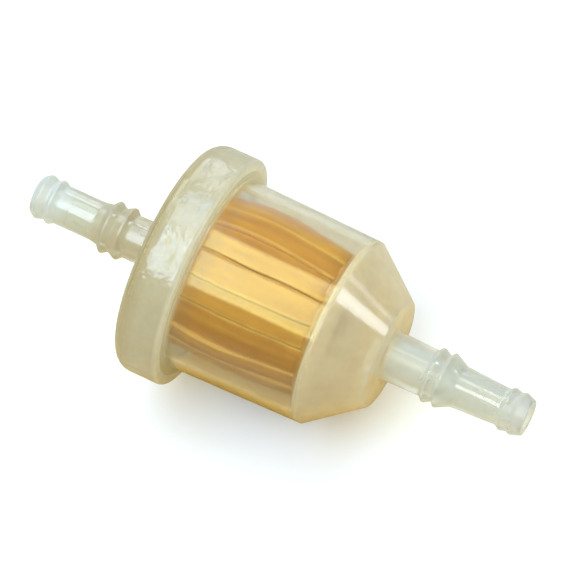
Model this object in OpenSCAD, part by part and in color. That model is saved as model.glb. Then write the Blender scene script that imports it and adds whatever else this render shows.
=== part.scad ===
// In-line fuel filter for a small engine: a moulded cap and bowl, spin-welded
// together round a pleated paper element, with a barbed hose nipple at each end.
//
// The flow axis is +X, from the inlet nipple to the outlet nipple. The origin is on
// that axis, half way between the two tips. Stations are distances along the axis,
// measured from the tip of the inlet nipple.

/* [Overall] */
// Length from nipple tip to nipple tip
total_l = 94; // [93:0.5:96]
// Diameter of the cap's rim
rim_d = 42.1; // [41:0.1:44]
// Bore of both nipples
port_d = 4.4; // [3:0.1:4.8]

/* [Inlet nipple] */
// Crest diameter of the two large barbs
inlet_barb_d = 9.5; // [9:0.1:10]
// Crest diameter of the two tip rings that take the smaller hose
inlet_ring_d = 8.1; // [8:0.1:8.6]
// Diameter of the tube between the rings and the barbs
inlet_tube_d = 7; // [6.6:0.1:7.4]
// Diameter of the neck between the barbs and the cap
inlet_neck_d = 8; // [7.6:0.1:8.4]

/* [Outlet nipple] */
// Crest diameter of the two large barbs
outlet_barb_d = 9.9; // [9.4:0.1:10.4]
// Crest diameter of the two tip rings that take the smaller hose
outlet_ring_d = 7.7; // [7.4:0.1:8.2]
// Diameter of the tube where it leaves the barbs
outlet_tube_d = 7.5; // [7.2:0.1:7.7]
// Diameter of the neck where it leaves the cone
outlet_neck_d = 8.8; // [8.2:0.1:9.2]

/* [Cap] */
// Station of the cap's outer face
cap_face = 25; // [24.5:0.1:25.5]
// Thickness of the cap's end wall
cap_wall = 2.4; // [2:0.1:2.6]
// Length of the rim along the axis
rim_l = 8.8; // [8:0.1:9.5]
// Radius of the round between the cap's face and its rim
rim_round = 3; // [2:0.1:4]
// Thickness of the skirt that wraps round the bowl's collar
skirt_t = 2; // [1.6:0.1:2.2]

/* [Bowl] */
// Body diameter beside the rim
body_d = 34.9; // [34:0.1:35.4]
// Body diameter at the start of the cone
body_end_d = 33.8; // [33:0.1:34.8]
// Station where the cone starts
cone_start = 58.6; // [58:0.1:59]
// Station of the flat face at the cone's small end
cone_end = 67.7; // [67:0.1:68.4]
// Diameter of that flat face
cone_end_d = 19.6; // [18:0.1:21]
// Wall thickness
bowl_wall = 1.5; // [1.2:0.1:1.7]

/* [Element] */
// Number of pleats
pleats = 18; // [14:1:20]
// Diameter over the outer folds
pleat_d = 26.4; // [25:0.1:26.8]
// Depth of each pleat
pleat_depth = 5.8; // [5:0.1:6.4]
// Thickness of the paper
paper_t = 0.5; // [0.4:0.05:0.6]
// Height of the stand-off ribs between the cap and the element
standoff = 1.3; // [1:0.1:1.6]
// Thickness of each bed of potting adhesive
potting_t = 1.3; // [1:0.1:1.6]

/* [Hidden] */
$fn = 96;

// Nipples: every barb has a sloping side towards the tip, a short land and a steep side
tip_wall = 1;
tip_chamfer = 0.6;
barb_land = 0.3;
inlet_barbs = [14.1, 16.9];
inlet_rings = [1.1, 3.4];
outlet_barbs = [76, 78.2];
outlet_rings = [90, 92];
neck_fillet = 0.5;
neck_draft = 0.08;
port_flare = 0.9;

// Cap
rim_r = rim_d / 2;
rim_end = cap_face + rim_l;
rim_edge = 0.45;
skirt_r = rim_r - skirt_t;
cap_inside = cap_face + cap_wall;
rib_w = 1.2;
rib_from = 4.5;
rib_to = 12.5;
ribs = 4;

// Tongue and groove of the spin weld, with the room that each needs beside it
weld_r = 17.1;
tongue_w = 1;
tongue_l = 0.8;
weld_gap = 0.1;

// Bowl
collar_r = skirt_r - weld_gap;
collar_end = rim_end - 0.25;
collar_edge = 0.3;
draft = (body_d - body_end_d) / 2 / (cone_start - rim_end);
cone_slope = (body_end_d - cone_end_d) / 2 / (cone_end - cone_start);
cone_wall_r = bowl_wall * sqrt(1 + pow(cone_slope, 2));
end_wall = 1.9;

// Inner wall of the bowl, as a radius at a station, and where the inner cone starts
function inner_body_r(s) = body_end_d / 2 - bowl_wall + draft * (cone_start - s);
function inner_cone_r(s) = body_end_d / 2 - cone_wall_r - cone_slope * (s - cone_start);
inner_corner = cone_start - (cone_wall_r - bowl_wall) / (cone_slope - draft);

// Element, stacked from the stand-off ribs to the corner where the cone starts
disc_t = 1;
disc_r = 13.9;
inlet_potting_r = 13.6;
end_ring_t = 0.8;
end_ring_gap = 0.1;
end_ring_hole_r = 5.8;
outlet_potting_r = 13.5;
paper_embed = 0.9;
disc_from = cap_inside + standoff;
inlet_potting_from = disc_from + disc_t;
paper_from = inlet_potting_from + potting_t - paper_embed;
end_ring_to = inner_corner + 0.1;
outlet_potting_to = end_ring_to - end_ring_t;
outlet_potting_from = outlet_potting_to - potting_t;
paper_to = outlet_potting_from + paper_embed;
end_ring_r = inner_body_r(inner_corner) - end_ring_gap;

// Pleats: the paper's own thickness measured along a radius, from the slope of a pleat's side
pleat_r = pleat_d / 2;
root_r = pleat_r - pleat_depth;
fold_angle = 180 / pleats;
side_slope = (pleat_r + root_r) / 2 * sin(fold_angle) / pleat_depth;
paper_r = paper_t * sqrt(1 + 1 / pow(side_slope, 2));

// Seam clip: a U-shaped strip astride one inner fold
clip_w = 1.9;
clip_t = 0.3;
clip_from_r = root_r - 0.9;
clip_to_r = root_r + 1.5;
clip_gap = 0.2;
past = 1; // how far a cutting solid runs past the face that it cuts

NYLON_CAP = [0.87, 0.86, 0.76, 0.6];
NYLON_BOWL = [0.88, 0.87, 0.78, 0.35];
NYLON_DISC = [0.93, 0.9, 0.8];
AMBER = [0.76, 0.53, 0.14];
PAPER = [0.93, 0.76, 0.36];
STEEL = [0.72, 0.72, 0.7];

// Puts a shape that was drawn upwards from a station on to the flow axis
module on_axis(s = 0) {
    translate([s - total_l / 2, 0, 0]) rotate([0, 90, 0]) children();
}

// Solid of revolution round the flow axis, from an outline of [radius, station] points
module turned(outline) {
    on_axis() rotate_extrude() polygon(outline);
}

// Points of a quarter round about [r, s], from one direction to another, in degrees from +r
function round_off(r, s, radius, from, to, steps = 6) = [
    for (i = [0 : steps])
        let (a = from + (to - from) * i / steps)
        [r + radius * cos(a), s + radius * sin(a)]
];

// One barb, in the order that an outline runs from the inlet to the outlet.
// rise and fall are the lengths of its sides before and after the land.
function barb(s, crest_r, before_r, rise, after_r, fall) = [
    [before_r, s - rise],
    [crest_r, s],
    [crest_r, s + barb_land],
    [after_r, s + barb_land + fall]
];

// Outline of the inlet nipple, from its tip to the cap's face
function inlet_nipple() =
    let (tube = inlet_tube_d / 2, ring = inlet_ring_d / 2)
    let (crest = inlet_barb_d / 2, neck = inlet_neck_d / 2)
    let (tip = port_d / 2 + tip_wall)
    concat(
        [[tip, 0]],
        barb(inlet_rings[0], ring, tip + 0.4, tip_chamfer, tube + 0.12, 1.1),
        barb(inlet_rings[1], ring, tube + 0.12, 0.5, tube, 0.9),
        [[tube, inlet_barbs[0] - 2.4]],
        barb(inlet_barbs[0], crest, tube + 0.3, 0.9, neck + 0.16, 0.9),
        barb(inlet_barbs[1], crest, neck + 0.1, 1.3, neck - neck_draft, 0.9),
        round_off(neck + neck_fillet, cap_face - neck_fillet, neck_fillet, 180, 90)
    );

// Outline of the outlet nipple, from the cone's flat face to its tip
function outlet_nipple() =
    let (tube = outlet_tube_d / 2, ring = outlet_ring_d / 2)
    let (crest = outlet_barb_d / 2, neck = outlet_neck_d / 2)
    let (tip = port_d / 2 + tip_wall)
    concat(
        round_off(neck + neck_fillet, cone_end + neck_fillet, neck_fillet, 270, 180),
        barb(outlet_barbs[0], crest, neck - 0.18, 0.7, neck - 0.18, 1.3),
        barb(outlet_barbs[1], crest, neck - 0.14, 0.5, tube, 2.4),
        [[ring - 0.52, outlet_rings[0] - 1]],
        barb(outlet_rings[0], ring, ring - 0.47, 0.7, ring - 0.25, 0.9),
        barb(outlet_rings[1], ring, ring - 0.25, 0.6, ring - 0.45, 1.2),
        [[tip, total_l]]
    );

// Outline of the pleated paper at one of its two faces, set back by a radial amount
function pleat_line(set_back) = [
    for (i = [0 : 2 * pleats - 1])
        let (a = i * fold_angle)
        let (r = i % 2 == 1 ? pleat_r - set_back : root_r + paper_r - set_back)
        [r * cos(a), r * sin(a)]
];

// Fuel passage through a nipple and the wall behind it, flared at its inner end
module port(tip, inside) {
    way = inside > tip ? 1 : -1;
    turned([
        [0, tip - way * past],
        [port_d / 2, tip - way * past],
        [port_d / 2, inside - way * port_flare],
        [port_d / 2 + port_flare, inside],
        [port_d / 2 + port_flare, inside + way * past],
        [0, inside + way * past]
    ]);
}

// Flat ring on the flow axis
module ring(from, to, outer_r, hole_r) {
    difference() {
        on_axis(from) cylinder(h = to - from, r = outer_r);
        on_axis(from - past) cylinder(h = to - from + 2 * past, r = hole_r);
    }
}

// The paper between two stations, as the closed star that it is folded into
module paper_star(from, to) {
    on_axis(from) difference() {
        linear_extrude(to - from) polygon(pleat_line(0));
        translate([0, 0, -past]) linear_extrude(to - from + 2 * past) polygon(pleat_line(paper_r));
    }
}

module inlet_cap() {
    color(NYLON_CAP) {
        difference() {
            turned(concat(
                [[0, 0]],
                inlet_nipple(),
                round_off(rim_r - rim_round, cap_face + rim_round, rim_round, 270, 360),
                round_off(rim_r - rim_edge, rim_end - rim_edge, rim_edge, 0, 90, 4),
                [[skirt_r, rim_end], [skirt_r, cap_inside], [0, cap_inside]]
            ));
            ring(
                cap_inside - tongue_l - weld_gap, cap_inside + past,
                weld_r + tongue_w / 2 + weld_gap, weld_r - tongue_w / 2 - weld_gap
            );
            port(0, cap_inside);
        }
        for (i = [0 : ribs - 1])
            rotate([(i + 0.5) * 360 / ribs, 0, 0])
                translate([cap_inside - total_l / 2, -rib_w / 2, rib_from])
                    cube([standoff, rib_w, rib_to - rib_from]);
    }
}

module filter_bowl() {
    color(NYLON_BOWL) difference() {
        turned(concat(
            [[0, cap_inside], [weld_r - tongue_w / 2, cap_inside]],
            [[weld_r - tongue_w / 2, cap_inside - tongue_l]],
            [[weld_r + tongue_w / 2, cap_inside - tongue_l]],
            [[weld_r + tongue_w / 2, cap_inside], [collar_r, cap_inside]],
            round_off(collar_r - collar_edge, collar_end - collar_edge, collar_edge, 0, 90, 4),
            [[body_d / 2, collar_end], [body_end_d / 2, cone_start], [cone_end_d / 2, cone_end]],
            outlet_nipple(),
            [[0, total_l]]
        ));
        turned([
            [0, cap_inside - tongue_l - past],
            [inner_body_r(cap_inside), cap_inside - tongue_l - past],
            [inner_body_r(cap_inside), cap_inside],
            [inner_body_r(inner_corner), inner_corner],
            [inner_cone_r(cone_end - end_wall), cone_end - end_wall],
            [0, cone_end - end_wall]
        ]);
        port(total_l, cone_end - end_wall);
    }
}

module inlet_end_disc() {
    color(NYLON_DISC) on_axis(disc_from) cylinder(h = disc_t, r = disc_r);
}

module inlet_potting() {
    color(AMBER) difference() {
        on_axis(inlet_potting_from) cylinder(h = potting_t, r = inlet_potting_r);
        paper_star(paper_from, paper_to);
    }
}

module pleated_paper() {
    color(PAPER) paper_star(paper_from, paper_to);
}

// Astride the inner fold that points straight down
module seam_clip() {
    clip_start = inlet_potting_from + potting_t + clip_gap;
    clip_l = outlet_potting_from - clip_gap - clip_start;
    color(STEEL) on_axis(clip_start) difference() {
        translate([clip_from_r, -clip_w / 2, 0]) cube([clip_to_r - clip_from_r, clip_w, clip_l]);
        translate([clip_from_r + clip_t, clip_t - clip_w / 2, -past])
            cube([clip_to_r, clip_w - 2 * clip_t, clip_l + 2 * past]);
    }
}

module outlet_potting() {
    color(AMBER) difference() {
        ring(outlet_potting_from, outlet_potting_to, outlet_potting_r, end_ring_hole_r);
        paper_star(paper_from, paper_to);
    }
}

module outlet_end_ring() {
    color(NYLON_DISC) ring(outlet_potting_to, end_ring_to, end_ring_r, end_ring_hole_r);
}

inlet_cap();
filter_bowl();
inlet_end_disc();
inlet_potting();
pleated_paper();
seam_clip();
outlet_potting();
outlet_end_ring();
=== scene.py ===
"""Looks of the in-line fuel filter: clear nylon housing, amber pleated paper, studio and camera."""

import math
import random

import bmesh
import bpy
import numpy as np
from mathutils import Matrix, Vector, noise


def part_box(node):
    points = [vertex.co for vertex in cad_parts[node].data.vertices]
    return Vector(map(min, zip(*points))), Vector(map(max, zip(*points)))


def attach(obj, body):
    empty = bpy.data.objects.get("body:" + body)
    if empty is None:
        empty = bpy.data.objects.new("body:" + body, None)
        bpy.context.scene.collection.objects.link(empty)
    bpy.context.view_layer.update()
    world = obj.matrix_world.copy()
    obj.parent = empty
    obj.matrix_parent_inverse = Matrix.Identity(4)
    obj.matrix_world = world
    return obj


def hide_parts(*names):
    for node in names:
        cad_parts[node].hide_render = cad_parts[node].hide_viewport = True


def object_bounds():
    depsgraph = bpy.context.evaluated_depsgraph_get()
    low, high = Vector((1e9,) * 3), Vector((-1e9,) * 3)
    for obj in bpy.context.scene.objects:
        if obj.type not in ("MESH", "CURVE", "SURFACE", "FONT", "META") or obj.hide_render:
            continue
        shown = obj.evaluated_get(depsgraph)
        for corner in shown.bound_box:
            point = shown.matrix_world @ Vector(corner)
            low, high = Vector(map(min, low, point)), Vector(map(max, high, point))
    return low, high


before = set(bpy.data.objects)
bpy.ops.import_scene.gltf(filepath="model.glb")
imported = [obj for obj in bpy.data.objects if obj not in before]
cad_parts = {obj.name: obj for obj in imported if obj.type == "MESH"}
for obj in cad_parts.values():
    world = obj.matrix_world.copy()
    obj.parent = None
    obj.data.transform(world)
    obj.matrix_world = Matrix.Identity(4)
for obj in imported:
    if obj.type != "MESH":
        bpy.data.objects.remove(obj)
cad_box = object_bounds()
MM = 0.001

# ---------------------------------------------------------------- places, from the frame
HALF_L = (cad_box[1][0] - cad_box[0][0]) / 2 / MM
rim_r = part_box("inlet_cap")[1][2]
paper_low, paper_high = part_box("pleated_paper")
paper_r = paper_high[2]

# ---------------------------------------------------------------- turned pieces
TURN_STEPS = 240
# Of each straight beside a corner, the share that the corner's fillet may take
FILLET_SHARE = 0.47
# In radians: about how far a step goes round a fillet, and the least turn that gets one
FILLET_STEP = 0.25
STRAIGHT_ENOUGH = 0.02
# In mm: how close to a corner the loops lie that keep a straight flat, and how far apart the loops along it
SUPPORT = 0.12
LONGEST = 1.2
# How quickly the waver of a moulding changes, per mm
WAVER_SCALE = 0.16


def turned(spoke, a):
    """A spoke turned by an angle."""
    return Vector((
        spoke.x * math.cos(a) - spoke.y * math.sin(a),
        spoke.x * math.sin(a) + spoke.y * math.cos(a),
    ))


def eased(outline):
    """Outline points (station, radius) in mm, with each corner that has a fillet rounded off."""
    points = []
    n = len(outline)
    for k in range(n):
        here = Vector(outline[k][:2])
        fillet = outline[k][2]
        before = Vector(outline[k - 1][:2]) - here
        after = Vector(outline[(k + 1) % n][:2]) - here
        turn = math.pi - before.angle(after)
        if not fillet or turn < STRAIGHT_ENOUGH:
            points.append(here)
            continue
        reach = min(fillet * math.tan(turn / 2), FILLET_SHARE * before.length, FILLET_SHARE * after.length)
        start, end = here + before.normalized() * reach, here + after.normalized() * reach
        inward = (before.normalized() + after.normalized()).normalized()
        middle = here + inward * reach / math.sin(turn / 2)
        steps = max(3, round(turn / FILLET_STEP))
        spoke, last = start - middle, end - middle
        sweep = spoke.angle_signed(last)
        for i in range(steps + 1):
            points.append(middle + turned(spoke, -sweep * i / steps))
    return points


def supported(points):
    """Adds points next to both ends of each long straight, and along it, so that it shades flat."""
    out = []
    for k, here in enumerate(points):
        after = points[(k + 1) % len(points)]
        out.append(here)
        length = (after - here).length
        if length > 3 * SUPPORT:
            way = (after - here) / length
            inner = length - 2 * SUPPORT
            count = max(1, math.ceil(inner / LONGEST))
            for i in range(count + 1):
                out.append(here + way * (SUPPORT + inner * i / count))
    return out


def shade_smooth(mesh):
    for p in mesh.polygons:
        p.use_smooth = True


def smooth_piece(name, mesh):
    """A piece of a closed mesh, with its faces turned outward and smooth shading."""
    bm = bmesh.new()
    bm.from_mesh(mesh)
    bmesh.ops.recalc_face_normals(bm, faces=bm.faces)
    bm.to_mesh(mesh)
    bm.free()
    shade_smooth(mesh)
    piece = bpy.data.objects.new(name, mesh)
    bpy.context.collection.objects.link(piece)
    return piece


def lathe(name, outline, waver=0.0, shift=None):
    """Turns a closed outline of (station, radius, fillet) round the flow axis. waver is how uneven it is,
    in mm. shift gives extra (station, radius) movement at an angle round the axis."""
    points = supported(eased(outline))
    n = len(points)
    verts, faces = [], []
    for i in range(TURN_STEPS):
        a = 2 * math.pi * i / TURN_STEPS
        way = Vector((0, math.sin(a), -math.cos(a)))
        for p in points:
            station, radius = p
            if shift:
                ds, dr = shift(a, station, radius)
                station, radius = station + ds, radius + dr
            if waver:
                across = (radius * way.y * WAVER_SCALE, radius * way.z * WAVER_SCALE)
                radius += waver * noise.noise(Vector((station * WAVER_SCALE, *across)))
            verts.append(((station - HALF_L) * MM, radius * way.y * MM, radius * way.z * MM))
    for i in range(TURN_STEPS):
        j = (i + 1) % TURN_STEPS
        for k in range(n):
            m = (k + 1) % n
            faces.append((i * n + k, j * n + k, j * n + m, i * n + m))
    mesh = bpy.data.meshes.new(name)
    mesh.from_pydata(verts, [], faces)
    return smooth_piece(name, mesh)


# Outlines as (station from the inlet tip, radius, fillet), in mm: the CAD model's own stations and radii
CAP_INSIDE = 27.4
CAP_OUTLINE = [
    (0, 2.2, 0.15), (0, 3.2, 0.2), (0.5, 3.6, 0.2), (1.1, 4.05, 0.25), (1.4, 4.05, 0.25),
    (2.5, 3.62, 0.5), (2.9, 3.62, 0.4), (3.4, 4.05, 0.25), (3.7, 4.05, 0.25), (4.6, 3.5, 0.8),
    (11.7, 3.5, 2.5), (13.2, 3.8, 0.6), (14.1, 4.75, 0.2), (14.4, 4.75, 0.25), (15.3, 4.16, 0.3),
    (15.6, 4.1, 0.3), (16.9, 4.75, 0.2), (17.2, 4.75, 0.2), (18.1, 3.92, 0.5), (25, 4.0, 0.5),
    (25, 21.05, 3.0), (33.8, 21.05, 0.7), (33.8, 19.05, 0.15), (CAP_INSIDE, 19.05, 0.2),
    (CAP_INSIDE, 17.7, 0.1), (26.5, 17.7, 0.1), (26.5, 16.5, 0.1), (CAP_INSIDE, 16.5, 0.1),
    (CAP_INSIDE, 3.1, 0.4), (26.5, 2.2, 0.3),
]
BOWL_OUTLINE = [
    (CAP_INSIDE, 16.09, 0.1), (CAP_INSIDE, 16.6, 0), (26.6, 16.6, 0.1), (26.6, 17.6, 0.1),
    (CAP_INSIDE, 17.6, 0), (CAP_INSIDE, 19.02, 0.1), (33.65, 19.02, 0.15), (33.65, 17.45, 0.3),
    (58.6, 16.9, 0.35), (67.7, 9.8, 0.35), (67.7, 4.4, 0.5), (75.3, 4.22, 0.3), (76, 4.95, 0.12),
    (76.3, 4.95, 0.12), (77.6, 4.22, 0.1), (77.7, 4.26, 0.1), (78.2, 4.95, 0.12), (78.5, 4.95, 0.12),
    (80.9, 3.75, 0.8), (89, 3.33, 0.4), (89.3, 3.38, 0.3), (90, 3.85, 0.15), (90.3, 3.85, 0.15),
    (91.2, 3.6, 0.2), (91.4, 3.6, 0.2), (92, 3.85, 0.2), (92.3, 3.85, 0.2), (93.5, 3.4, 0.2),
    (94, 3.2, 0.15), (94, 2.2, 0.15), (66.7, 2.2, 0.3), (65.8, 3.1, 0.3), (65.8, 9.38, 0.5),
    (58.07, 15.41, 0.6),
]
# How uneven the two mouldings are, in mm
CAP_WAVER, BOWL_WAVER = 0.016, 0.014

# The cap's four stand-off ribs, in mm: height, width and length, how far out they start, how deep they sink
# into the cap and how their edges are rounded
RIBS = 4
RIB_SIZE = (1.3, 1.2, 8.0)
RIB_START = 4.5
RIB_SUNK = 0.02
RIB_ROUNDING = 0.15
# The shares of a rib's width and length that its draft leaves at the crest
SIDE_DRAFT, END_DRAFT = 0.85, 0.97


def add_rib(bm, k):
    """Rib k: a drafted bar on the cap's inside, with rounded edges."""
    height, wide, long = RIB_SIZE
    bar = bmesh.ops.create_cube(bm, size=1.0)["verts"]
    for v in bar:
        crest = v.co.x > 0
        v.co = Vector((
            CAP_INSIDE - HALF_L + (v.co.x + 0.5) * height - (0 if crest else RIB_SUNK),
            v.co.y * wide * (SIDE_DRAFT if crest else 1.0),
            RIB_START + (v.co.z * (END_DRAFT if crest else 1.0) + 0.5) * long,
        )) * MM
    place_round = Matrix.Rotation((k + 0.5) * 2 * math.pi / RIBS, 3, "X")
    bmesh.ops.rotate(bm, verts=bar, cent=(0, 0, 0), matrix=place_round)
    edges = list({e for v in bar for e in v.link_edges})
    bmesh.ops.bevel(bm, geom=edges, offset=RIB_ROUNDING * MM, segments=3, affect="EDGES", profile=0.5)


def make_cap():
    """The cap, with its stand-off ribs joined on."""
    cap = lathe("inlet_cap_moulding", CAP_OUTLINE, CAP_WAVER)
    bm = bmesh.new()
    bm.from_mesh(cap.data)
    for k in range(RIBS):
        add_rib(bm, k)
    bm.to_mesh(cap.data)
    bm.free()
    shade_smooth(cap.data)
    return cap


# ---------------------------------------------------------------- resin beds
PLEATS = 18
# The inlet bed is solid. Its outline stops just short of the axis, which a turned outline can't touch
BED_BORE = 0.02
INLET_BED = [(29.7, BED_BORE, 0), (29.7, 13.5, 0.3), (31.0, 13.5, 0.45), (31.0, BED_BORE, 0)]
OUTLET_BED = [(57.4, 5.8, 0.1), (57.4, 13.4, 0.2), (56.1, 13.4, 0.45), (56.1, 5.8, 0.3)]
# The middle station of each bed, and how far its free face climbs the paper, in mm
INLET_BED_MIDDLE, INLET_CLIMB = 30.3, 0.5
OUTLET_BED_MIDDLE, OUTLET_CLIMB = 56.8, -0.5
# The part of a bed that counts as its edge: where it starts, and over how far it comes on
EDGE_FROM, EDGE_OVER = 10.5, 2.5
EDGE_PLAY = 0.10
# Shares of the climb that come from the pleats and from chance, and how quickly chance changes round a bed
PLEAT_SHARE, UNEVEN_SHARE = 0.55, 0.5
UNEVEN_SCALE = 2.2


def resin_edge(middle, climb):
    """How a resin bed's rim moves: it wets up each pleat and is a little uneven."""
    def shift(a, station, radius):
        at_edge = max(0.0, min(1.0, (radius - EDGE_FROM) / EDGE_OVER))
        crest = 0.5 + 0.5 * math.cos(PLEATS * a)
        spot = (math.cos(a) * UNEVEN_SCALE, math.sin(a) * UNEVEN_SCALE, middle * 9)
        uneven = noise.noise(Vector(spot))
        free_face = (station - middle) * climb > 0
        ds = climb * at_edge * (PLEAT_SHARE * crest + UNEVEN_SHARE * uneven) if free_face else 0.0
        return ds, at_edge * (EDGE_PLAY * crest + EDGE_PLAY * uneven)
    return shift


# ---------------------------------------------------------------- paper
PLEAT_DEPTH = 5.8 * MM
PAPER_T = 0.34 * MM
# How far a pleat's top bulges out between its shoulders, and how much that changes along it
CROWN = 0.30 * MM
CROWN_PLAY = 0.14 * MM
ROOT_ROUNDING = 0.18 * MM
ARC_POINTS = 6
SIDE_POINTS = 4
STATIONS = 60
SHOULDER, ROOT = 1.0, 0.0
# How far below a pleat's top the mark of a groove's lip lies, where the paper is palest: a painted
# highlight
LIP = 0.15
# A groove: how far it strays from its even place, in degrees, half its width and how much shallower it may
# be, in mm
GROOVE_STRAY = 1.9
GROOVE_HALF = (0.178, 0.192)
SHALLOWER = (0, 0.6)
# A pleat's top, in mm: how low its shoulders lie, how far it tilts, swells and is rounded
SHOULDER_LOW = (0.1, 0.4)
TILT = 0.4
SWELL = (0.5, 1.0)
ROUNDING = (0.3, 0.5)
# The side of the paper whose pleats start lowest and swell most, and how much more, in mm
LOOSE_SIDE = math.radians(145)
LOOSE_LOW, LOOSE_SWELL = 0.5, 1.1
# The swell along a pleat comes on sooner and is flatter below 1. A groove's drift skews it by SWELL_SKEW
SWELL_SOON, SWELL_SKEW, SWELL_FLAT = 0.8, 0.12, 0.8
# How far a groove bows and wanders round the axis, in radians, and a shoulder wanders outward
GROOVE_BOW, GROOVE_WANDER = 0.035, 0.014
SHOULDER_WANDER = 0.1 * MM


def wander(seed, t, scale):
    """A repeatable wander between about -1 and 1, along t."""
    return noise.noise(Vector((t * scale, seed * 17.31, 3.7))) * 2


def groove_line(rng, k):
    """The groove after pleat k: its angle, half its width, how it drifts, and its depth."""
    pitch = 2 * math.pi / PLEATS
    return {
        "angle": (k + 0.5) * pitch + math.radians(rng.uniform(-GROOVE_STRAY, GROOVE_STRAY)),
        "half": rng.uniform(*GROOVE_HALF) * MM,
        "drift": rng.uniform(-1, 1),
        "depth": PLEAT_DEPTH - rng.uniform(*SHALLOWER) * MM,
    }


def pleat_top(rng, k):
    """Pleat k's top: how low its two shoulders lie, how far it swells between its ends, and its tint."""
    loose = 0.5 + 0.5 * math.cos(2 * math.pi * k / PLEATS - LOOSE_SIDE)
    tilt = rng.uniform(-TILT, TILT)
    low = [(rng.uniform(*SHOULDER_LOW) + LOOSE_LOW * loose + side * tilt) * MM for side in (-1, 1)]
    return {
        "low": low,
        "swell": (rng.uniform(*SWELL) + LOOSE_SWELL * loose) * MM,
        "rounding": rng.uniform(*ROUNDING) * MM,
        "tint": rng.random(),
    }


def corners_at(grooves, tops, t):
    """The fold points round the paper at a share t of its length: each pleat's two shoulders, then its
    groove's root. The two walls of a groove run side by side, just clear of each other."""
    corners = []
    for k, top in enumerate(tops):
        for side in (0, 1):
            groove = grooves[k - 1 + side]
            drift = groove["drift"]
            swell = math.sin(math.pi * t ** (SWELL_SOON + SWELL_SKEW * drift)) ** SWELL_FLAT
            angle = groove["angle"] + GROOVE_BOW * drift * swell
            angle += GROOVE_WANDER * wander((k + side - 1) % PLEATS + 1, t, 3.0)
            out = Vector((math.cos(angle), math.sin(angle)))
            aside = Vector((-out.y, out.x)) * groove["half"]
            radius = paper_r - top["low"][side] + top["swell"] * swell
            radius += SHOULDER_WANDER * wander(k + 50, t, 5.0)
            edge = out * radius + (aside if side == 0 else -aside)
            corners.append((edge, SHOULDER, top["tint"], top["rounding"]))
        root = out * (paper_r - groove["depth"])
        corners.append((root - aside, ROOT, top["tint"], ROOT_ROUNDING))
        corners.append((root + aside, ROOT, top["tint"], ROOT_ROUNDING))
    return corners


def arc(here, start, end, kind, in_first, in_last, tint):
    """Points round one fold, with their marks. in_first and in_last say which half lies in a groove."""
    points, marks = [], []
    for i in range(ARC_POINTS):
        u = i / (ARC_POINTS - 1)
        points.append((1 - u) ** 2 * start + 2 * u * (1 - u) * here + u * u * end)
        crest = 1.0 - abs(2 * u - 1) if kind == SHOULDER else 0.0
        in_groove = in_first if u < 0.5 else in_last
        marks.append((kind - (LIP * (1.0 - crest) if in_groove else 0.0), tint, crest))
    return points, marks


def section(grooves, tops, t):
    """Points round the paper's middle line at a share t of its length. The marks beside them are how far
    out each lies (fold_out), its pleat's tint (fold_tint) and how close to a crest it is (crease). The
    first and the last place painted shade down the grooves and painted highlights at the lips and crests."""
    corners = corners_at(grooves, tops, t)
    points, marks = [], []
    n = len(corners)
    for k in range(n):
        before, kind_before = corners[k - 1][:2]
        here, kind, tint, reach = corners[k]
        after, next_kind, next_tint, next_reach = corners[(k + 1) % n]
        on_top = kind == next_kind == SHOULDER
        side_in = (before - here).normalized()
        side_out = (after - here).normalized()
        start, end = here + side_in * reach, here + side_out * reach
        in_first = kind == SHOULDER and kind_before == ROOT
        in_last = kind == SHOULDER and kind_before != ROOT
        round_points, round_marks = arc(here, start, end, kind, in_first, in_last, tint)
        points += round_points
        marks += round_marks
        far = after - side_out * next_reach
        outward = Vector((side_out.y, -side_out.x))
        bow = CROWN + CROWN_PLAY * wander(k + 100, t, 2.2) if on_top else 0.0
        for i in range(1, SIDE_POINTS + 1):
            u = i / (SIDE_POINTS + 1)
            points.append(end.lerp(far, u) + outward * bow * math.sin(math.pi * u))
            depth = kind * (1 - u) + next_kind * u
            fold_out = depth if kind == next_kind else depth * (1 - LIP)
            marks.append((fold_out, tint * (1 - u) + next_tint * u, 0.0))
    return points, marks


def sheet_faces(m, n):
    """Faces of a closed sheet of m rings of n points: its outer side, its inner side, and its two ends."""
    faces = []
    half = m * n
    for j in range(m - 1):
        for i in range(n):
            a, b = j * n + i, j * n + (i + 1) % n
            faces.append((a, b, b + n, a + n))
            faces.append((half + a, half + a + n, half + b + n, half + b))
    for j in (0, m - 1):
        for i in range(n):
            a, b = j * n + i, j * n + (i + 1) % n
            faces.append((a, half + a, half + b, b))
    return faces


def make_paper():
    """The pleated paper: one folded sheet, thickened to both sides of its middle line."""
    rng = random.Random(7)
    grooves = [groove_line(rng, k) for k in range(PLEATS)]
    tops = [pleat_top(rng, k) for k in range(PLEATS)]
    x0, x1 = paper_low[0], paper_high[0]
    rings, marks = [], []
    for j in range(STATIONS):
        t = j / (STATIONS - 1)
        points, marked = section(grooves, tops, t)
        rings.append(np.array([(x0 + (x1 - x0) * t, p.y, -p.x) for p in points]))
        marks.append(marked)
    grid = np.array(rings)
    along = np.gradient(grid, axis=0)
    around = np.roll(grid, -1, axis=1) - np.roll(grid, 1, axis=1)
    normal = np.cross(along, around)
    normal /= np.linalg.norm(normal, axis=2, keepdims=True)
    outer, inner = grid + normal * PAPER_T / 2, grid - normal * PAPER_T / 2
    verts = np.concatenate([outer.reshape(-1, 3), inner.reshape(-1, 3)])
    mesh = bpy.data.meshes.new("pleated_paper_folds")
    mesh.from_pydata(verts.tolist(), [], sheet_faces(*grid.shape[:2]))
    marks = np.array(marks).reshape(-1, 3)
    for column, name in enumerate(("fold_out", "fold_tint", "crest_highlight")):
        layer = mesh.attributes.new(name, "FLOAT", "POINT")
        layer.data.foreach_set("value", np.tile(marks[:, column], 2).astype(np.float32))
    return smooth_piece("pleated_paper_folds", mesh)


# ---------------------------------------------------------------- materials
WHITE = (1, 1, 1)
NYLON_IOR = 1.53
NYLON_ROUGH = 0.08
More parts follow.
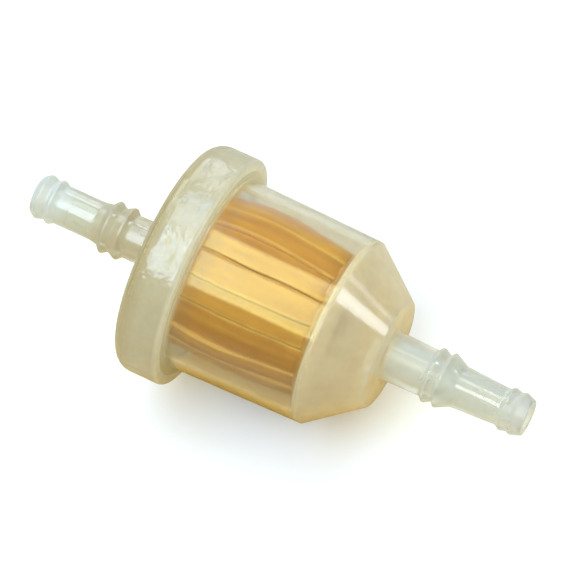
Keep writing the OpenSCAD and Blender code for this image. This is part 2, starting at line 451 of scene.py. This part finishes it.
# What nylon lets through to its shadows, and the tint of the light that comes through its milk
NYLON_SHADOW = (0.93, 0.90, 0.82)
NYLON_THROUGH = (0.98, 0.89, 0.70)
# The share of each cloudy material that light comes through
NYLON_GLOW, PAPER_GLOW, CAST_GLOW = 0.4, 0.42, 0.3


class Shader:
    """A material's or world's nodes, with a short call for each kind that they share."""

    def __init__(self, name, owner=None):
        self.material = owner or bpy.data.materials.new(name)
        self.material.use_nodes = True
        self.tree = self.material.node_tree
        self.tree.nodes.clear()
        self.coords = self.add("TexCoord").outputs["Object"]

    def add(self, kind, inputs=None, **settings):
        """A new node. An input is another node's socket or a plain value."""
        made = self.tree.nodes.new("ShaderNode" + kind)
        for key, value in settings.items():
            setattr(made, key, value)
        for key, value in (inputs or {}).items():
            socket = made.inputs[key]
            if isinstance(value, bpy.types.NodeSocket):
                self.tree.links.new(value, socket)
            else:
                socket.default_value = (*value, 1) if socket.type == "RGBA" else value
        return made

    def noise(self, scale, detail=2, stretch=None):
        """Noise of a scale, in cycles a metre. stretch squeezes the coordinates, which draws it out."""
        where = self.coords
        if stretch:
            where = self.add("Mapping", {"Vector": where, "Scale": stretch}).outputs[0]
        return self.add("TexNoise", {"Vector": where, "Scale": scale, "Detail": detail}).outputs["Fac"]

    def vector_maths(self, kind, first, second=None):
        inputs = {0: first} if second is None else {0: first, 1: second}
        return self.add("VectorMath", inputs, operation=kind)

    def mapped(self, value, low, high, to_low, to_high, smooth=False):
        return self.add(
            "MapRange",
            {"Value": value, "From Min": low, "From Max": high, "To Min": to_low, "To Max": to_high},
            interpolation_type="SMOOTHSTEP" if smooth else "LINEAR",
        ).outputs[0]

    def ramp(self, value, stops):
        """Colours at places from 0 to 1, as (place, colour)."""
        made = self.add("ValToRGB", {"Fac": value})
        points = made.color_ramp.elements
        while len(points) < len(stops):
            points.new(0.5)
        for point, (spot, colour) in zip(points, stops):
            point.position = spot
            point.color = (*colour, 1)
        return made.outputs["Color"]

    def blend(self, factor, first, second, kind="MIX"):
        made = self.add("Mix", {0: factor, 6: first, 7: second}, data_type="RGBA", blend_type=kind)
        return made.outputs[2]

    def maths(self, kind, first, second, clamp=False):
        return self.add("Math", {0: first, 1: second}, operation=kind, use_clamp=clamp).outputs[0]

    def mix(self, factor, first, second):
        return self.add("MixShader", {0: factor, 1: first, 2: second}).outputs[0]

    def bump(self, height, strength, distance):
        return self.add("Bump", {"Height": height, "Strength": strength, "Distance": distance}).outputs[0]

    def glow(self, colour):
        """Light that comes through from behind."""
        return self.add("BsdfTranslucent", {"Color": colour}).outputs[0]

    def finish(self, surface):
        self.add("OutputMaterial", {"Surface": surface})
        return self.material


def nylon(name, tint, stops, waves, veil):
    """Natural nylon: clear with a cream tint, milkier where it is thick, and a soft, wavy moulded gloss.
    stops lists (x in mm, share of milk, milk colour) along the flow axis. waves is how deep the skin's
    waves are before and after a place along x, and that place in mm. veil is the milk that edge-on walls
    gain."""
    s = Shader(name)
    first, last = stops[0][0], stops[-1][0]
    x = s.add("SeparateXYZ", {0: s.coords}).outputs["X"]
    along = s.mapped(x, first * MM, last * MM, 0.0, 1.0)
    spots = [(station - first) / (last - first) for station, share, colour in stops]
    shares = [(spot, (share,) * 3) for spot, (station, share, colour) in zip(spots, stops)]
    colours = [(spot, colour) for spot, (station, share, colour) in zip(spots, stops)]
    milk, hue = s.ramp(along, shares), s.ramp(along, colours)
    cloud = s.mapped(s.noise(180, 3), 0.3, 0.7, 0.85, 1.15)
    edge_on = s.add("LayerWeight", {"Blend": 0.5}).outputs["Facing"]
    edge_milk = s.mapped(edge_on, 0.3, 0.85, 0.0, veil, True)
    share = s.maths("ADD", s.maths("MULTIPLY", milk, cloud), edge_milk, True)
    before, after, turn = waves
    depth = s.mapped(x, (turn - 2) * MM, (turn + 2) * MM, before, after)
    surface = s.bump(s.maths("MULTIPLY", s.noise(430, 2), depth), 1.0, MM)
    clear = s.add("BsdfPrincipled", {
        "Base Color": tint, "Transmission Weight": 1.0, "IOR": NYLON_IOR, "Roughness": NYLON_ROUGH,
        "Normal": surface,
    })
    uneven_gloss = s.mapped(s.noise(700, 2), 0.3, 0.7, NYLON_ROUGH, 2 * NYLON_ROUGH)
    cloudy = s.add("BsdfPrincipled", {
        "Base Color": hue, "IOR": NYLON_IOR, "Roughness": uneven_gloss, "Normal": surface,
    })
    through = s.glow(s.blend(1.0, hue, NYLON_THROUGH, "MULTIPLY"))
    body = s.mix(share, clear.outputs[0], s.mix(NYLON_GLOW, cloudy.outputs[0], through))
    to_lamp = s.add("BsdfTransparent", {"Color": NYLON_SHADOW})
    shadow = s.add("LightPath").outputs["Is Shadow Ray"]
    return s.finish(s.mix(shadow, body, to_lamp.outputs[0]))


def paper_material():
    """Resin-cured paper: deep amber tops, a painted highlight that makes it palest at the lips of the
    grooves and along the crests, and painted shade that makes it browner down the grooves. Each pleat has
    its own tint, with fine fibre and streaks along the folds."""
    s = Shader("cured_paper")
    fibre = s.noise(900, 6)
    streak = s.noise(520, 3, (0.05, 1.0, 1.0))

    def mark(name):
        return s.add("Attribute", attribute_name=name).outputs["Fac"]

    # Colour by how far out the paper lies: browner down the grooves is painted shade, palest at the lips is
    # a painted highlight
    folds = [(0.0, (0.74, 0.36, 0.05)), (0.85, (0.95, 0.60, 0.12)), (1.0, (0.70, 0.40, 0.045))]
    tints = [(0.0, (0.89, 0.72, 0.60)), (1.0, (1.0, 1.0, 0.9))]
    fibres = [(0.0, (0.82, 0.78, 0.7)), (1.0, (1.08, 1.06, 1.0))]
    streaks = [(0.35, (0.84, 0.70, 0.60)), (0.65, (1.1, 1.14, 1.1))]
    amber = s.ramp(mark("fold_out"), folds)
    amber = s.blend(0.6, amber, s.ramp(mark("fold_tint"), tints), "MULTIPLY")
    # A painted highlight: paler, yellower paper along the rounded shoulders at the crests and lips
    amber = s.blend(mark("crest_highlight"), amber, (0.84, 0.58, 0.13))
    amber = s.blend(0.7, amber, s.ramp(fibre, fibres), "MULTIPLY")
    amber = s.blend(0.8, amber, s.ramp(streak, streaks), "MULTIPLY")
    weave = s.bump(s.maths("ADD", fibre, streak), 0.25, 0.05 * MM)
    sheet = s.add("BsdfPrincipled", {
        "Base Color": amber, "Roughness": s.mapped(fibre, 0.3, 0.7, 0.48, 0.62),
        "Specular IOR Level": 0.12, "Normal": weave,
    })
    glow = s.add("BsdfTranslucent", {"Color": amber, "Normal": weave})
    return s.finish(s.mix(PAPER_GLOW, sheet.outputs[0], glow.outputs[0]))


def resin(name, colour, deep):
    """Cast amber resin: glassy with slow swirls, and a few soft dimples where it set."""
    s = Shader(name)
    swirl = s.noise(260, 4)
    hue = s.ramp(swirl, [(0.3, deep), (0.7, colour)])
    set_face = s.bump(s.noise(420, 2), 0.3, 0.08 * MM)
    top = s.add("BsdfPrincipled", {
        "Base Color": hue, "Roughness": s.mapped(swirl, 0.3, 0.7, 0.18, 0.32), "Normal": set_face,
    })
    return s.finish(s.mix(CAST_GLOW, top.outputs[0], s.glow(hue)))


def moulded(name, colour, deep):
    """Opaque cream moulding: faint flow clouds and a fine matt grain from the tool."""
    s = Shader(name)
    hue = s.ramp(s.noise(150, 3), [(0.3, deep), (0.7, colour)])
    grain = s.noise(4000, 2)
    top = s.add("BsdfPrincipled", {
        "Base Color": hue, "Roughness": s.mapped(grain, 0.3, 0.7, 0.36, 0.5),
        "Normal": s.bump(grain, 0.2, 0.02 * MM),
    })
    return s.finish(s.mix(CAST_GLOW, top.outputs[0], s.glow(hue)))


def rolled_metal(name):
    """Tinned strip: rolling lines along the filter, and a dulled tin surface."""
    s = Shader(name)
    rolled = s.noise(6000, 2, (0.03, 1.0, 1.0))
    dull = s.noise(500, 3)
    tin = s.ramp(dull, [(0.3, (0.56, 0.56, 0.54)), (0.7, (0.72, 0.72, 0.70))])
    top = s.add("BsdfPrincipled", {
        "Base Color": tin, "Metallic": 1.0, "Roughness": s.mapped(dull, 0.3, 0.7, 0.26, 0.42),
        "Normal": s.bump(rolled, 0.25, 0.01 * MM),
    })
    return s.finish(top.outputs[0])


CREAM, WALL = (0.60, 0.57, 0.43), (0.62, 0.54, 0.33)
TAN, PALE = (0.83, 0.75, 0.53), (0.66, 0.72, 0.74)
# Milk along the flow axis, as (x in mm, share of milk, milk colour). The pale, thick milk at the rim's
# right edge and the joint beside it is a painted highlight
CAP_MILK = [
    (-47, 0.55, PALE), (-43, 0.50, PALE), (-40, 0.36, (0.56, 0.60, 0.55)), (-36, 0.38, (0.56, 0.58, 0.50)),
    (-33, 0.55, (0.58, 0.55, 0.42)), (-26, 0.45, (0.58, 0.54, 0.40)), (-21, 0.45, (0.52, 0.46, 0.28)),
    # The last stop, paler and thicker at the rim's right edge, is a painted highlight along that edge
    (-18, 0.55, CREAM), (-14, 0.55, CREAM), (-13.4, 0.7, (0.78, 0.78, 0.66)),
]
BOWL_MILK = [
    # The stop at -13.5, pale at the joint under the rim's right edge, is a painted highlight
    (-21, 0.45, CREAM), (-13.5, 0.5, (0.74, 0.73, 0.60)), (-12.6, 0.12, WALL), (-9, 0.03, WALL),
    (10, 0.03, WALL), (11.5, 0.45, TAN), (20, 0.45, TAN), (22, 0.40, PALE),
    (32, 0.40, (0.60, 0.66, 0.66)), (47, 0.38, (0.56, 0.61, 0.64)),
]


# ---------------------------------------------------------------- pieces in place
def dress(name, material):
    """Gives a CAD piece its material."""
    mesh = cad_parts[name].data
    mesh.materials.clear()
    mesh.materials.append(material)


def place(piece, material, replaced):
    """Puts a new piece in for a CAD piece."""
    piece.data.materials.append(material)
    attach(piece, "root")
    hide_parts(replaced)


cap_nylon = nylon("cap_nylon", (0.95, 0.94, 0.88), CAP_MILK, (0.04, 0.2, -24), 0.35)
bowl_nylon = nylon("bowl_nylon", (0.96, 0.94, 0.86), BOWL_MILK, (0.012, 0.03, 22), 0.2)
place(make_cap(), cap_nylon, "inlet_cap")
bowl = lathe("filter_bowl_moulding", BOWL_OUTLINE, BOWL_WAVER)
place(bowl, bowl_nylon, "filter_bowl")

ring_nylon = moulded("ring_nylon", (0.68, 0.62, 0.44), (0.60, 0.53, 0.36))
dress("inlet_end_disc", ring_nylon)
dress("outlet_end_ring", ring_nylon)

amber = resin("amber_potting", (0.56, 0.29, 0.03), (0.44, 0.20, 0.02))
inlet_bed = lathe("inlet_resin_bed", INLET_BED, shift=resin_edge(INLET_BED_MIDDLE, INLET_CLIMB))
outlet_bed = lathe("outlet_resin_bed", OUTLET_BED, shift=resin_edge(OUTLET_BED_MIDDLE, OUTLET_CLIMB))
place(inlet_bed, amber, "inlet_potting")
place(outlet_bed, amber, "outlet_potting")

dress("seam_clip", rolled_metal("tinned_strip"))
place(make_paper(), paper_material(), "pleated_paper")

# ---------------------------------------------------------------- floor
# The filter lies on its rim and on the corner where the cone starts, so the floor is tangent to both
RIM_EDGE_X, CORNER_X, CORNER_R = -13.3 * MM, 11.6 * MM, 16.9 * MM
rim_bottom = Vector((RIM_EDGE_X, 0, -rim_r))
corner_bottom = Vector((CORNER_X, 0, -CORNER_R))
FLOOR_HALF = 3.0
# Amber light through the filter, painted on the floor: its middle along x, its half length and half width
UNDER_FILTER = 12 * MM
PAINTED_LIGHT_LONG, PAINTED_LIGHT_WIDE = 0.034, 0.024
PAINTED_AMBER_LIGHT = (0.68, 0.41, 0.06)
BENCH_INLET, BENCH_OUTLET, BENCH_BEHIND = (0.70, 0.58, 0.38), (0.86, 0.73, 0.50), (0.62, 0.60, 0.50)
# How far from the middle the floor starts to turn into the backdrop, and where it has turned
BACKDROP_FROM, BACKDROP_TO = 0.08, 0.2


def bench_light(s):
    """The floor as the filter is lit by it: a tan bench, cooler behind, with painted amber light where
    light through the filter would fall.
    """
    away = s.vector_maths("SUBTRACT", s.coords, (UNDER_FILTER, 0, 0)).outputs[0]
    away = s.vector_maths("MULTIPLY", away, (1 / PAINTED_LIGHT_LONG, 1 / PAINTED_LIGHT_WIDE, 1)).outputs[0]
    away = s.vector_maths("LENGTH", away).outputs["Value"]
    spot = s.add("SeparateXYZ", {0: s.coords})
    along = s.mapped(spot.outputs["X"], 0.01, 0.05, 0.0, 1.0, True)
    behind = s.mapped(spot.outputs["Y"], 0.0, 0.05, 0.0, 1.0, True)
    bare = s.blend(behind, s.blend(along, BENCH_INLET, BENCH_OUTLET), BENCH_BEHIND)
    # Painted amber light: the bench turns amber under the filter, where light through the paper would fall
    bench = s.blend(s.mapped(away, 0.55, 1.35, 0.0, 1.0, True), PAINTED_AMBER_LIGHT, bare)
    return s.add("BsdfDiffuse", {"Color": bench}).outputs[0]


def floor_material():
    """To the camera a plain pale floor that turns into a white backdrop, and a bench to every other ray,
    with painted amber light under the filter.
    """
    s = Shader("floor")
    distance = s.vector_maths("LENGTH", s.coords).outputs["Value"]
    backdrop = s.add("Emission", {"Color": WHITE}).outputs[0]
    pale = s.add("BsdfDiffuse", {"Color": (0.9, 0.9, 0.9)}).outputs[0]
    seen = s.mix(s.mapped(distance, BACKDROP_FROM, BACKDROP_TO, 0.0, 1.0, True), pale, backdrop)
    camera_ray = s.add("LightPath").outputs["Is Camera Ray"]
    return s.finish(s.mix(camera_ray, bench_light(s), seen))


def make_floor():
    h = FLOOR_HALF
    mesh = bpy.data.meshes.new("floor")
    mesh.from_pydata([(-h, -h, 0), (h, -h, 0), (h, h, 0), (-h, h, 0)], [], [(0, 1, 2, 3)])
    mesh.materials.append(floor_material())
    floor = bpy.data.objects.new("floor", mesh)
    bpy.context.collection.objects.link(floor)
    lean = math.atan2(corner_bottom.z - rim_bottom.z, corner_bottom.x - rim_bottom.x)
    floor.location = rim_bottom
    floor.rotation_euler = (0, -lean, 0)


make_floor()

# ---------------------------------------------------------------- camera
CAMERA_AZIMUTH, CAMERA_ELEVATION = math.radians(27.3), math.radians(62.4)
CAMERA_DISTANCE = 0.989
CAMERA_ANGLE = math.radians(5.68)
AIM_RIGHT, AIM_UP = 1.23 * MM, 2.9 * MM
back = Vector((
    math.sin(CAMERA_AZIMUTH) * math.cos(CAMERA_ELEVATION),
    -math.cos(CAMERA_AZIMUTH) * math.cos(CAMERA_ELEVATION),
    math.sin(CAMERA_ELEVATION),
))


def facing(place_at, x, y, z):
    """The matrix of an object at a place, with its own axes along three directions."""
    return Matrix.Translation(place_at) @ Matrix((x, y, z)).transposed().to_4x4()


def make_camera():
    data = bpy.data.cameras.new("camera")
    data.sensor_width = 36
    data.angle = CAMERA_ANGLE
    data.clip_start = 0.01
    camera = bpy.data.objects.new("camera", data)
    bpy.context.collection.objects.link(camera)
    right = Vector((math.cos(CAMERA_AZIMUTH), math.sin(CAMERA_AZIMUTH), 0))
    up = back.cross(right)
    aim = right * AIM_RIGHT + up * AIM_UP
    camera.matrix_world = facing(aim + back * CAMERA_DISTANCE, right, up, back)
    bpy.context.scene.camera = camera


make_camera()

# ---------------------------------------------------------------- lamps
# The flow axis, the direction square to it nearest the camera, and the one behind the filter
axis = Vector((1, 0, 0))
near = (back - axis * back.dot(axis)).normalized()
side = near.cross(axis)
LAMP_DISTANCE = 0.6
KEY = (0.92, 1.0, 1.12)
CRISP = (0.85, 1.03, 1.32)
COOL = (0.40, 1.0, 2.0)
AMBER_SIDE = (0.95, 1.0, 0.45)
SHADE = (0.85, 1.0, 1.2)


def overhead(turn, lean):
    """The direction a light comes from, turned about the flow axis from the camera's side and leaned along
    it, in degrees."""
    a, b = math.radians(turn), math.radians(lean)
    return axis * math.sin(b) + (near * math.cos(a) + side * math.sin(a)) * math.cos(b)


def area(name, direction, width, height, radiance, colour):
    """A rectangular softbox that faces the filter, with its width along the flow axis."""
    data = bpy.data.lights.new(name, "AREA")
    data.shape = "RECTANGLE"
    data.size = width
    data.size_y = height
    data.energy = radiance * math.pi * width * height
    data.color = colour
    lamp = bpy.data.objects.new(name, data)
    bpy.context.collection.objects.link(lamp)
    z = direction.normalized()
    x = (axis - z * axis.dot(z)).normalized()
    lamp.matrix_world = facing(z * LAMP_DISTANCE, x, z.cross(x), z)
    lamp.visible_camera = False
    return lamp


def softbox(name, turn, turn_span, x_from, x_to, radiance, colour):
    """A softbox parallel to the flow axis, between two places along it, that spans so many degrees round
    it."""
    height = 2 * LAMP_DISTANCE * math.tan(math.radians(turn_span / 2))
    lamp = area(name, overhead(turn, 0), x_to - x_from, height, radiance, colour)
    lamp.location += axis * (x_from + x_to) / 2


# Each stretch along the axis is what one part of the filter mirrors to the camera
SOFTBOXES = [
    ("softbox_inlet_front", 1, 48, -0.34, -0.153, 6.4, CRISP),
    ("softbox_inlet_back", 42, 30, -0.34, -0.161, 3.2, CRISP),
    ("softbox_rim_front", -1, 40, -0.153, -0.137, 6.4, COOL),
    ("softbox_rim_back", 47, 36, -0.161, -0.137, 5.4, COOL),
    ("softbox_inlet_top", 95, 40, -0.34, -0.161, 2.8, KEY),
    ("softbox_rim_top", 95, 40, -0.161, -0.137, 1.2, COOL),
    ("softbox_body_front", -1, 42, -0.137, -0.087, 4.4, AMBER_SIDE),
    ("softbox_body_back", 36, 22, -0.137, -0.087, 4.4, AMBER_SIDE),
    ("softbox_neck_front", 6, 32, -0.082, -0.035, 1.8, KEY),
    ("softbox_neck_back", 39, 13, -0.082, -0.035, 3.6, KEY),
    ("softbox_tube_front", -2, 17, -0.026, 0.012, 7.6, KEY),
    ("softbox_tube_back", 42, 15, -0.026, 0.012, 5.8, KEY),
]
for box in SOFTBOXES:
    softbox(*box)
area("softbox_left", Vector((-0.75, 0.5, 0.43)), 0.3, 0.3, 3.0, SHADE)
area("softbox_edge", overhead(20, 34), 0.10, 0.6, 3.2, KEY)
area("softbox_cone", axis * 0.840 + near * 0.2885 + side * 0.4606, 0.17, 0.13, 8.5, KEY)
area("softbox_cone_far", axis * 0.745 + near * 0.045 + side * 0.667, 0.15, 0.05, 3.6, KEY)

# ---------------------------------------------------------------- world
# The room's colours, from in front of the filter (0) to low behind it (1)
SKY = [(0.25, (0.46, 0.38, 0.24)), (0.84, (0.44, 0.40, 0.29)), (0.97, (1.0, 1.15, 1.3))]


def make_world():
    """A dim tan room, brighter and cooler behind the filter and dimmer at its outlet. The camera sees plain
    white."""
    world = bpy.data.worlds.new("studio")
    s = Shader("studio", world)
    way = s.add("TexCoord").outputs["Generated"]
    behind = s.vector_maths("DOT_PRODUCT", way, overhead(140, 0)).outputs["Value"]
    sky = s.ramp(s.mapped(behind, -1.0, 1.0, 0.0, 1.0), SKY)
    outlet_end = s.mapped(s.add("SeparateXYZ", {0: way}).outputs["X"], 0.0, 0.9, 1.0, 0.45)
    sky = s.blend(1.0, sky, outlet_end, "MULTIPLY")
    camera_ray = s.add("LightPath").outputs["Is Camera Ray"]
    light = s.add("Background", {"Color": s.blend(camera_ray, sky, WHITE)})
    s.add("OutputWorld", {"Surface": light.outputs[0]})
    return world


bpy.context.scene.world = make_world()
bpy.context.scene.view_settings.view_transform = "Standard"
